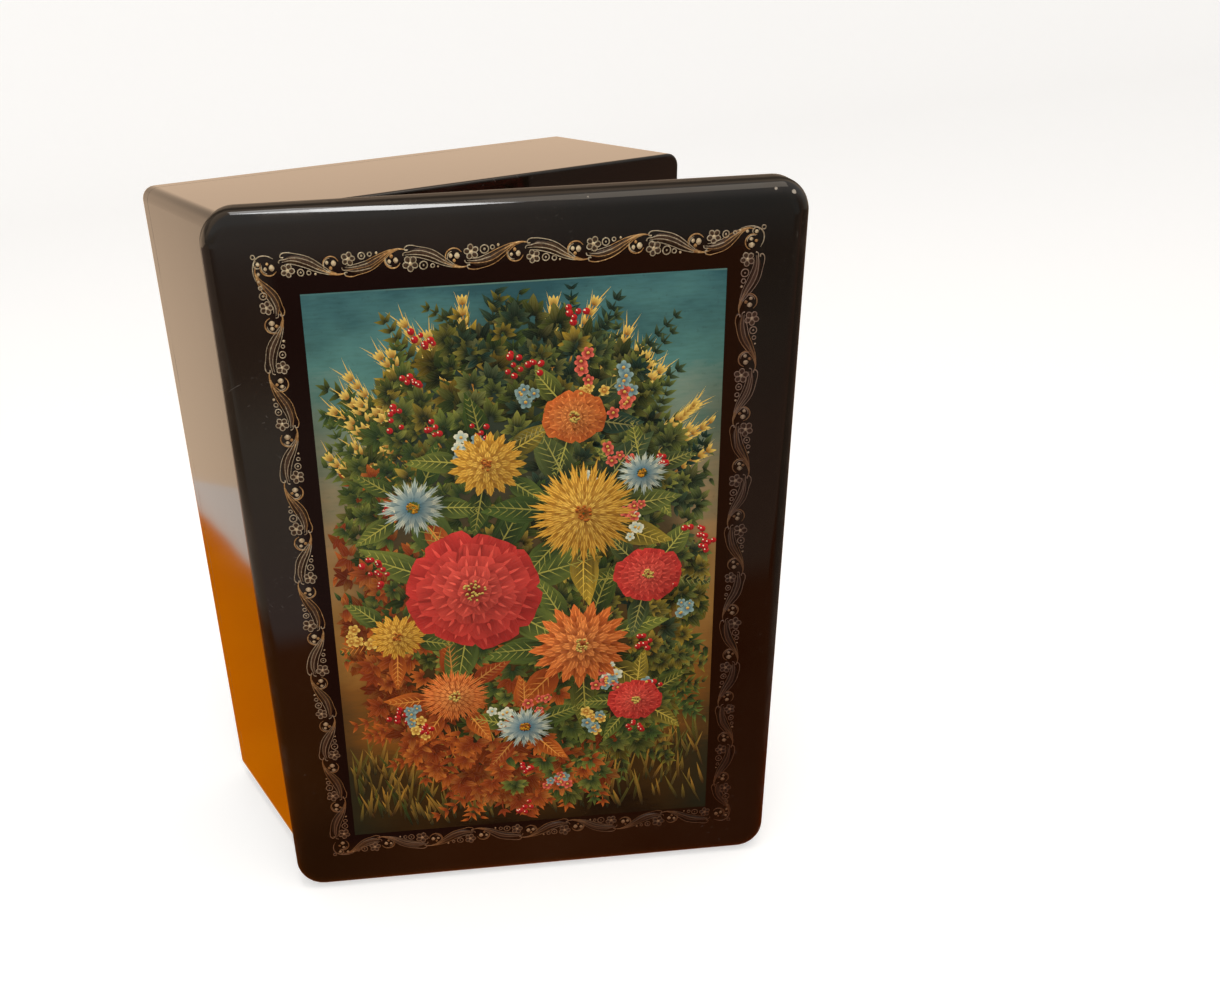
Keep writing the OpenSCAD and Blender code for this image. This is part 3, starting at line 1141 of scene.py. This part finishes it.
def paint_small_flowers():
    """Small flowers and berries scattered over the leaves."""
    coat = Coat(SMALL_FLOWER_LEVEL)
    for bunch in range(FLOWER_BUNCHES):
        point, _ = bouquet_spot(0.5, 1.0)
        first, last = painter.choice(SMALL_PAINTS)
        for bloom in range(5):
            place = point + heading(painter.uniform(0, math.tau)) * painter.uniform(0, 4.2)
            star_flower(coat, place, painter.uniform(1.2, 1.9), first, last, LEMON)
    for bunch in range(BERRY_BUNCHES):
        point, _ = bouquet_spot(0.6, 1.08)
        for fruit in range(7):
            place = point + heading(painter.uniform(0, math.tau)) * painter.uniform(0.4, 3.2)
            berry(coat, place, painter.uniform(1.3, 1.9))
    return coat


def ground_plate():
    """The ground under the painting, a thin plate."""
    bm = bmesh.new()
    corners = [bm.verts.new((x, y, 0.0)) for x, y in PANEL_CORNERS]
    face = bm.faces.new(corners)
    move_new(bm, bmesh.ops.extrude_face_region(bm, geom=[face]), (0, 0, GROUND_LIFT))
    bmesh.ops.recalc_face_normals(bm, faces=bm.faces)
    mesh = mesh_from(bm, "panel_ground")
    mesh.transform(on_lid)
    on_body(mesh, "panel_ground", "lid", ground_finish("ground_paint"))


def varnished(colour, cloud):
    """Paint seen through old clear lacquer, which has turned a little yellow."""
    amber = cloud.between(0.3, 0.7).tint(rgb(0.94, 0.87, 0.70), rgb(0.86, 0.77, 0.57))
    settings = {"data_type": "RGBA", "blend_type": "MULTIPLY"}
    return cloud.node("ShaderNodeMix", settings, {0: 1.0, 6: colour, 7: amber}, 2)


PAINT_GLOSS = {"IOR": 1.3, "Coat Weight": 0.15, "Coat Roughness": 0.05}


def ground_finish(name):
    """A glow that turns from blue-green above through peach and ochre to dark earth below."""
    material, shader, spot = new_finish(name, PAINT_GLOSS)
    spot = lid_frame(spot)
    x, y, z = spot.axes()
    cloud = spot.placed(scale=(1.0, 1.0, 1.8)).noise(42, 5.0)
    bristle = spot.placed(scale=(260, 260, 1500)).noise(1.0, 2.0)
    speck = spot.noise(900, 2.0)
    height = (z * (1 / 0.17)) + 0.30 * cloud + 0.05 * bristle - 0.2
    stops = (
        (0.06, rgb(*pigment(28, 21, 13))),
        (0.20, rgb(*pigment(62, 45, 21))),
        (0.34, rgb(*pigment(158, 100, 36))),
        (0.48, rgb(*pigment(204, 150, 80))),
        (0.62, rgb(*pigment(206, 164, 120))),
        (0.74, rgb(*pigment(140, 150, 136))),
        (0.86, rgb(*pigment(82, 132, 138))),
        (1.0, rgb(*pigment(46, 88, 106))),
    )
    colour = height.node("ShaderNodeValToRGB", {"stops": stops}, {0: height})
    middle = z - (HEART.y - LID_OVERHANG) * MM
    out_x = abs(x) * (1 / (BOUQUET_HALF_WIDTH * MM))
    out_z = abs(middle) * (1 / (BOUQUET_HALF_HEIGHT * MM))
    out = (out_x * out_x + out_z * out_z) + 0.5 * cloud
    halo = out.between(1.5, 0.95)
    colour = (halo * 0.9).tint(colour, rgb(*pigment(24, 34, 26)))
    rim = abs(x).between(0.034, 0.056) * z.between(0.168, 0.135)
    colour = (rim * 0.7).tint(colour, rgb(*pigment(32, 42, 34)))
    # Painted highlight: a thin lighter line along the panel's top edge
    top_edge_highlight = z.between(0.1729, 0.1731) * cloud.between(0.3, 0.6)
    colour = (top_edge_highlight * 0.6).tint(colour, rgb(*pigment(120, 160, 158)))
    colour = (bristle.between(0.4, 0.7) * 0.25).tint(colour, rgb(0.5, 0.42, 0.3), "SOFT_LIGHT")
    colour = (speck.between(0.62, 0.75) * 0.15).tint(colour, rgb(0.02, 0.02, 0.015))
    drive(shader, "Base Color", varnished(colour, cloud))
    drive(shader, "Roughness", 0.18 + 0.1 * bristle)
    drive_bump(shader, bristle, 0.000012)
    return material


def paint_finish(name):
    """Fine brush paint under clear lacquer, streaked along each mark."""
    material, shader, spot = new_finish(name, PAINT_GLOSS)
    colour = spot.node("ShaderNodeAttribute", {"attribute_name": "paint"}, {}, "Color")
    seed = spot.node("ShaderNodeAttribute", {"attribute_name": "paint"}, {}, "Alpha")
    across, along, _ = spot.node("ShaderNodeUVMap", {"uv_map": "stroke"}).axes()
    hair = spot.node("ShaderNodeCombineXYZ", {}, {0: across * 9.0, 1: along * 1.3, 2: seed * 61.0})
    streak = hair.noise(1.0, 2.0)
    speck = spot.noise(1500, 2.0)
    colour = (streak.between(0.42, 0.25) * 0.5).tint(colour, rgb(0.25, 0.22, 0.2), "MULTIPLY")
    colour = (streak.between(0.55, 0.78) * 0.4).tint(colour, rgb(0.9, 0.86, 0.74), "SOFT_LIGHT")
    colour = (speck.between(0.58, 0.72) * 0.22).tint(colour, rgb(0.05, 0.04, 0.03))
    drive(shader, "Base Color", varnished(colour, spot.noise(30, 3.0)))
    drive(shader, "Roughness", 0.2 + 0.14 * streak)
    drive_bump(shader, streak, 0.00001)
    return material


ground_plate()
brush_paint = paint_finish("brush_paint")
paint_sprays().dry("panel_sprays", brush_paint)
paint_foliage().dry("panel_foliage", brush_paint)
paint_leaves().dry("panel_leaves", brush_paint)
paint_small_flowers().dry("panel_small_flowers", brush_paint)
paint_blossoms().dry("panel_blossoms", brush_paint)
bpy.data.meshes.remove(mark_mesh)


# Studio: a pale sweep, cards that only shine in the gloss as painted reflections, soft lamps

MATT = {"Roughness": 0.9, "Specular IOR Level": 0.0, "Emission Strength": 1.0}
ROOM_LIGHT = 0.7
ROOM_WHITE = 0.97
RAMP_SHARE = 0.8
SLANT_ACROSS = 0.603
SLANT_AWAY = 0.798
REAR_MIDDLE = -0.033
AMBER_LIFT = 0.4
DUSK_LIFT = 0.8
DUSK_WALL = 2300
DUSK_CEILING = 3800
AMBER_CORNERS = ((-69, 330), (-69, -28), (-152, -28), (-152, 269), (-136, 295), (-130, 330))
DUSK_CORNERS = (
    (4000, -1700), (4000, 1900), (3999, 28), (75, 28), (75, -40), (0, -48),
    (-68, -36), (-75, -8), (-89, 38), (-109, 103), (-138, 198), (-185, 352),
    (-275, 645), (-360, 920), (-440, 1190), (-3999, 1190), (-4000, 1900), (-4000, -1700),
)


def studio_piece(bm, name, material):
    mesh = mesh_from(bm, name)
    mesh.materials.append(material)
    piece = bpy.data.objects.new(name, mesh)
    scene.collection.objects.link(piece)
    return piece


def paper_finish(name, colour, seen, mirrored):
    """Pale paper that takes shadows. Seen lightens it for the camera.

    Mirrored is a painted reflection, a glow that shows only in the gloss of the box: near it, to the right
    of it, far away and high up.
    """
    material, shader, spot = new_finish(name, MATT)
    shader.inputs["Base Color"].default_value = colour
    camera_ray = spot.node("ShaderNodeLightPath", {}, {}, "Is Camera Ray")
    clear_ray = spot.node("ShaderNodeLightPath", {}, {}, "Is Transmission Ray")
    glossy_ray = spot.node("ShaderNodeLightPath", {}, {}, "Is Glossy Ray")
    drive(shader, "Emission Color", camera_ray.most(clear_ray).tint(rgb(0, 0, 0), seen))
    x, y, z = spot.axes()
    near, right, far, high = mirrored
    shown = x.between(0.06, 0.22).tint(near, right)
    shown = y.between(0.3, 1.5).tint(shown, far)
    glow = spot.node("ShaderNodeEmission", {}, {"Color": z.between(0.5, 1.2).tint(shown, high)})
    plain = Shade(material.node_tree, shader.outputs[0])
    mixed = spot.node("ShaderNodeMixShader", {}, {0: glossy_ray, 1: plain, 2: glow})
    drive(material.node_tree.nodes["Material Output"], "Surface", mixed)
    return material


def pale_sweep():
    """A floor that curves up into a backdrop."""
    floor_front = -4.0
    bend_start = 1.2
    bend_radius = 0.8
    top = 4.0
    half_width = 6.0
    profile = [(floor_front, 0.0), (bend_start, 0.0)]
    for step in range(1, 17):
        angle = step / 16 * math.pi / 2
        back = bend_start + bend_radius * math.sin(angle)
        profile.append((back, bend_radius * (1 - math.cos(angle))))
    profile.append((bend_start + bend_radius, top))
    bm = bmesh.new()
    chain = [bm.verts.new((-half_width, y, z + FLOOR_LEVEL * MM)) for y, z in profile]
    edges = [bm.edges.new(pair) for pair in zip(chain, chain[1:])]
    move_new(bm, bmesh.ops.extrude_edge_only(bm, edges=edges), (2 * half_width, 0, 0))
    bmesh.ops.recalc_face_normals(bm, faces=bm.faces)
    for face in bm.faces:
        face.smooth = True
    # Painted reflection: the colours that the sweep glows with in the gloss of the box only
    mirrored = (
        rgb(0.98, 0.71, 0.485),
        rgb(0.14, 0.085, 0.055),
        rgb(0.81, 0.58, 0.40),
        rgb(0.26, 0.20, 0.15),
    )
    paper = paper_finish("pale_paper", rgb(0.78, 0.765, 0.745), rgb(0.42, 0.42, 0.42), mirrored)
    studio_piece(bm, "pale_sweep", paper)


def shine_card(name, corners, lift, finish, rise=0.0, cover=0.0):
    """A card on the floor that shows only in the gloss of the lacquer, as a painted reflection.

    Its first and last edges and the one between them may rise as walls, with a ceiling from that one.
    """
    bm = bmesh.new()
    points = [bm.verts.new((x * MM, y * MM, (FLOOR_LEVEL + lift) * MM)) for x, y in corners]
    bm.faces.new(points)
    if rise:
        pairs = (points[-2:], (points[-1], points[0]), points[:2])
        walls = [bm.edges.get(pair) for pair in pairs]
        tops = move_new(bm, bmesh.ops.extrude_edge_only(bm, edges=walls), (0, 0, rise * MM))
        front = bm.edges.get([vert for vert in tops if vert.co.y == points[0].co.y])
        move_new(bm, bmesh.ops.extrude_edge_only(bm, edges=[front]), (0, cover * MM, 0))
    bmesh.ops.recalc_face_normals(bm, faces=bm.faces)
    card = studio_piece(bm, name, finish)
    card.visible_camera = False
    card.visible_diffuse = False
    card.visible_shadow = False
    card.visible_transmission = False


def card_finish(name, colour_of):
    """A card with a glow of its own, a painted reflection, so that no shadow falls on it."""
    material, shader, spot = new_finish(name, MATT)
    shader.inputs["Base Color"].default_value = rgb(0, 0, 0)
    drive(shader, "Emission Color", colour_of(spot))
    return material


def dusk_tone(spot):
    """A painted reflection of the room in front: brown as far as a slanting line, greys and browns beyond,
    darker to the right.

    Behind the lid it is brown close by and grey further out, and high up it is pale.
    """
    x, y, z = spot.axes()
    away = -SLANT_ACROSS * x - SLANT_AWAY * y + 0.012 * spot.noise(9.0, 2.0)
    across = SLANT_AWAY * x - SLANT_ACROSS * y
    left_stops = (
        (0.222, rgb(0.235, 0.050, 0.008)),
        (0.236, rgb(0.305, 0.208, 0.190)),
        (0.313, rgb(0.278, 0.220, 0.190)),
        (0.460, rgb(0.310, 0.255, 0.205)),
        (0.600, rgb(0.150, 0.095, 0.072)),
        (0.680, rgb(0.126, 0.074, 0.057)),
        (0.800, rgb(0.140, 0.090, 0.075)),
        (0.950, rgb(0.200, 0.145, 0.125)),
        (1.100, rgb(0.270, 0.235, 0.215)),
    )
    right_stops = (
        (0.205, rgb(0.139, 0.019, 0.0)),
        (0.230, rgb(0.200, 0.105, 0.073)),
        (0.370, rgb(0.158, 0.088, 0.067)),
        (0.550, rgb(0.135, 0.100, 0.080)),
        (0.800, rgb(0.091, 0.066, 0.055)),
        (1.020, rgb(0.150, 0.155, 0.150)),
    )
    tones = []
    for stops in (left_stops, right_stops):
        scaled = [(place * RAMP_SHARE, tone) for place, tone in stops]
        tones.append(away.node("ShaderNodeValToRGB", {"stops": scaled}, {0: away * RAMP_SHARE}))
    right = across / (0.09 + 0.5 * away)
    floor = right.between(0.2, 0.9).tint(*tones)
    close = x.between(0.06, 0.2) * away.between(0.23, 0.205)
    floor = close.tint(floor, rgb(0.10, 0.065, 0.048))
    rear_stops = (
        (0.055, rgb(0.150, 0.034, 0.003)),
        (0.080, rgb(0.235, 0.057, 0.005)),
        (0.195, rgb(0.235, 0.057, 0.005)),
        (0.225, rgb(0.310, 0.235, 0.180)),
        (0.300, rgb(0.310, 0.235, 0.180)),
        (0.400, rgb(0.200, 0.135, 0.090)),
        (0.750, rgb(0.240, 0.165, 0.125)),
    )
    out_x = x - REAR_MIDDLE
    out_y = y - REAR_MIDDLE
    square = out_x * out_x + out_y * out_y
    out = square.maths("SQRT", square)
    rear = out.node("ShaderNodeValToRGB", {"stops": rear_stops}, {0: out})
    floor = y.between(-0.07, 0.0).tint(floor, rgb(0.10, 0.035, 0.008))
    floor = (y.between(-0.15, -0.08) * x.between(-0.03, -0.08)).tint(floor, rear)
    floor = abs(x).between(1.5, 3.0).tint(floor, rgb(0.22, 0.18, 0.15))
    high = y.between(-0.1, 0.6).tint(rgb(0.33, 0.32, 0.31), rgb(0.50, 0.385, 0.29))
    return z.between(0.05, 2.0).tint(floor, high)


def amber_tone(spot):
    """A painted reflection: amber beside the box, and a pale strip beyond it."""
    x, _, _ = spot.axes()
    wave = spot.noise(30.0, 2.0)
    amber = wave.between(0.2, 0.8).tint(rgb(0.90, 0.225, 0.0), rgb(0.84, 0.195, 0.0))
    return (x + 0.003 * wave).between(-0.1215, -0.1255).tint(amber, rgb(0.93, 0.80, 0.70))


def soft_lamp(name, place, aim, size, power, tone=(1, 1, 1), shines=True):
    lamp = bpy.data.lights.new(name, "AREA")
    lamp.color = tone
    lamp.shape = "RECTANGLE"
    lamp.size, lamp.size_y = size
    lamp.energy = power
    holder = bpy.data.objects.new(name, lamp)
    scene.collection.objects.link(holder)
    holder.location = place
    holder.rotation_euler = (Vector(aim) - Vector(place)).to_track_quat("-Z", "Y").to_euler()
    holder.visible_glossy = shines


pale_sweep()
shine_card("amber_card", AMBER_CORNERS, AMBER_LIFT, card_finish("amber_reflection_glow", amber_tone))
dusk_reflection_glow = card_finish("dusk_reflection_glow", dusk_tone)
shine_card("dusk_card", DUSK_CORNERS, DUSK_LIFT, dusk_reflection_glow, DUSK_WALL, DUSK_CEILING)
soft_lamp("overhead_lamp", (-0.115, -0.188, 0.85), (-0.1225, -0.238, 0.1), (0.11, 0.42), 1.25)
soft_lamp("rear_lamp", (-0.069, 0.119, 0.85), (-0.0765, 0.069, 0.1), (0.11, 0.2), 0.15)
soft_lamp("side_lamp", (0.18, -0.28, 0.85), (0.18, -0.33, 0.1), (0.5, 0.42), 0.6, (1.0, 0.86, 0.70))
soft_lamp("front_lamp", (-0.75, -0.95, 0.75), (0, -0.05, 0.09), (0.8, 0.8), 5.0, shines=False)

world = bpy.data.worlds.new("room_light")
world.use_nodes = True
room = world.node_tree.nodes["Background"]
room.inputs["Color"].default_value = rgb(1.0, 0.985, 0.965)
camera_ray = Shade(world.node_tree, room.outputs[0]).node("ShaderNodeLightPath", {}, {}, "Is Camera Ray")
drive(room, "Strength", ROOM_LIGHT + (ROOM_WHITE - ROOM_LIGHT) * camera_ray)
scene.world = world
scene.view_settings.view_transform = "Standard"

# Camera

CAMERA_PLACE = (-148.95, -298.83, 236.45)
CAMERA_YAW = 29.751
CAMERA_PITCH = -27.385
CAMERA_ROLL = -2.662
LENS = 34.327
SENSOR = 36.0
SHIFT_RIGHT = 0.088
SHIFT_UP = 0.0614

lens = bpy.data.cameras.new("lens")
lens.sensor_fit = "HORIZONTAL"
lens.sensor_width = SENSOR
lens.lens = LENS
lens.shift_x = SHIFT_RIGHT
lens.shift_y = SHIFT_UP
lens.clip_start = 0.01
lens.clip_end = 50.0
camera = bpy.data.objects.new("camera", lens)
scene.collection.objects.link(camera)
turn = Matrix.Rotation(math.radians(-CAMERA_YAW), 4, "Z")
tilt = Matrix.Rotation(math.radians(90 + CAMERA_PITCH), 4, "X")
roll = Matrix.Rotation(math.radians(CAMERA_ROLL), 4, "Z")
camera.matrix_world = Matrix.Translation(Vector(CAMERA_PLACE) * MM) @ turn @ tilt @ roll
scene.camera = camera
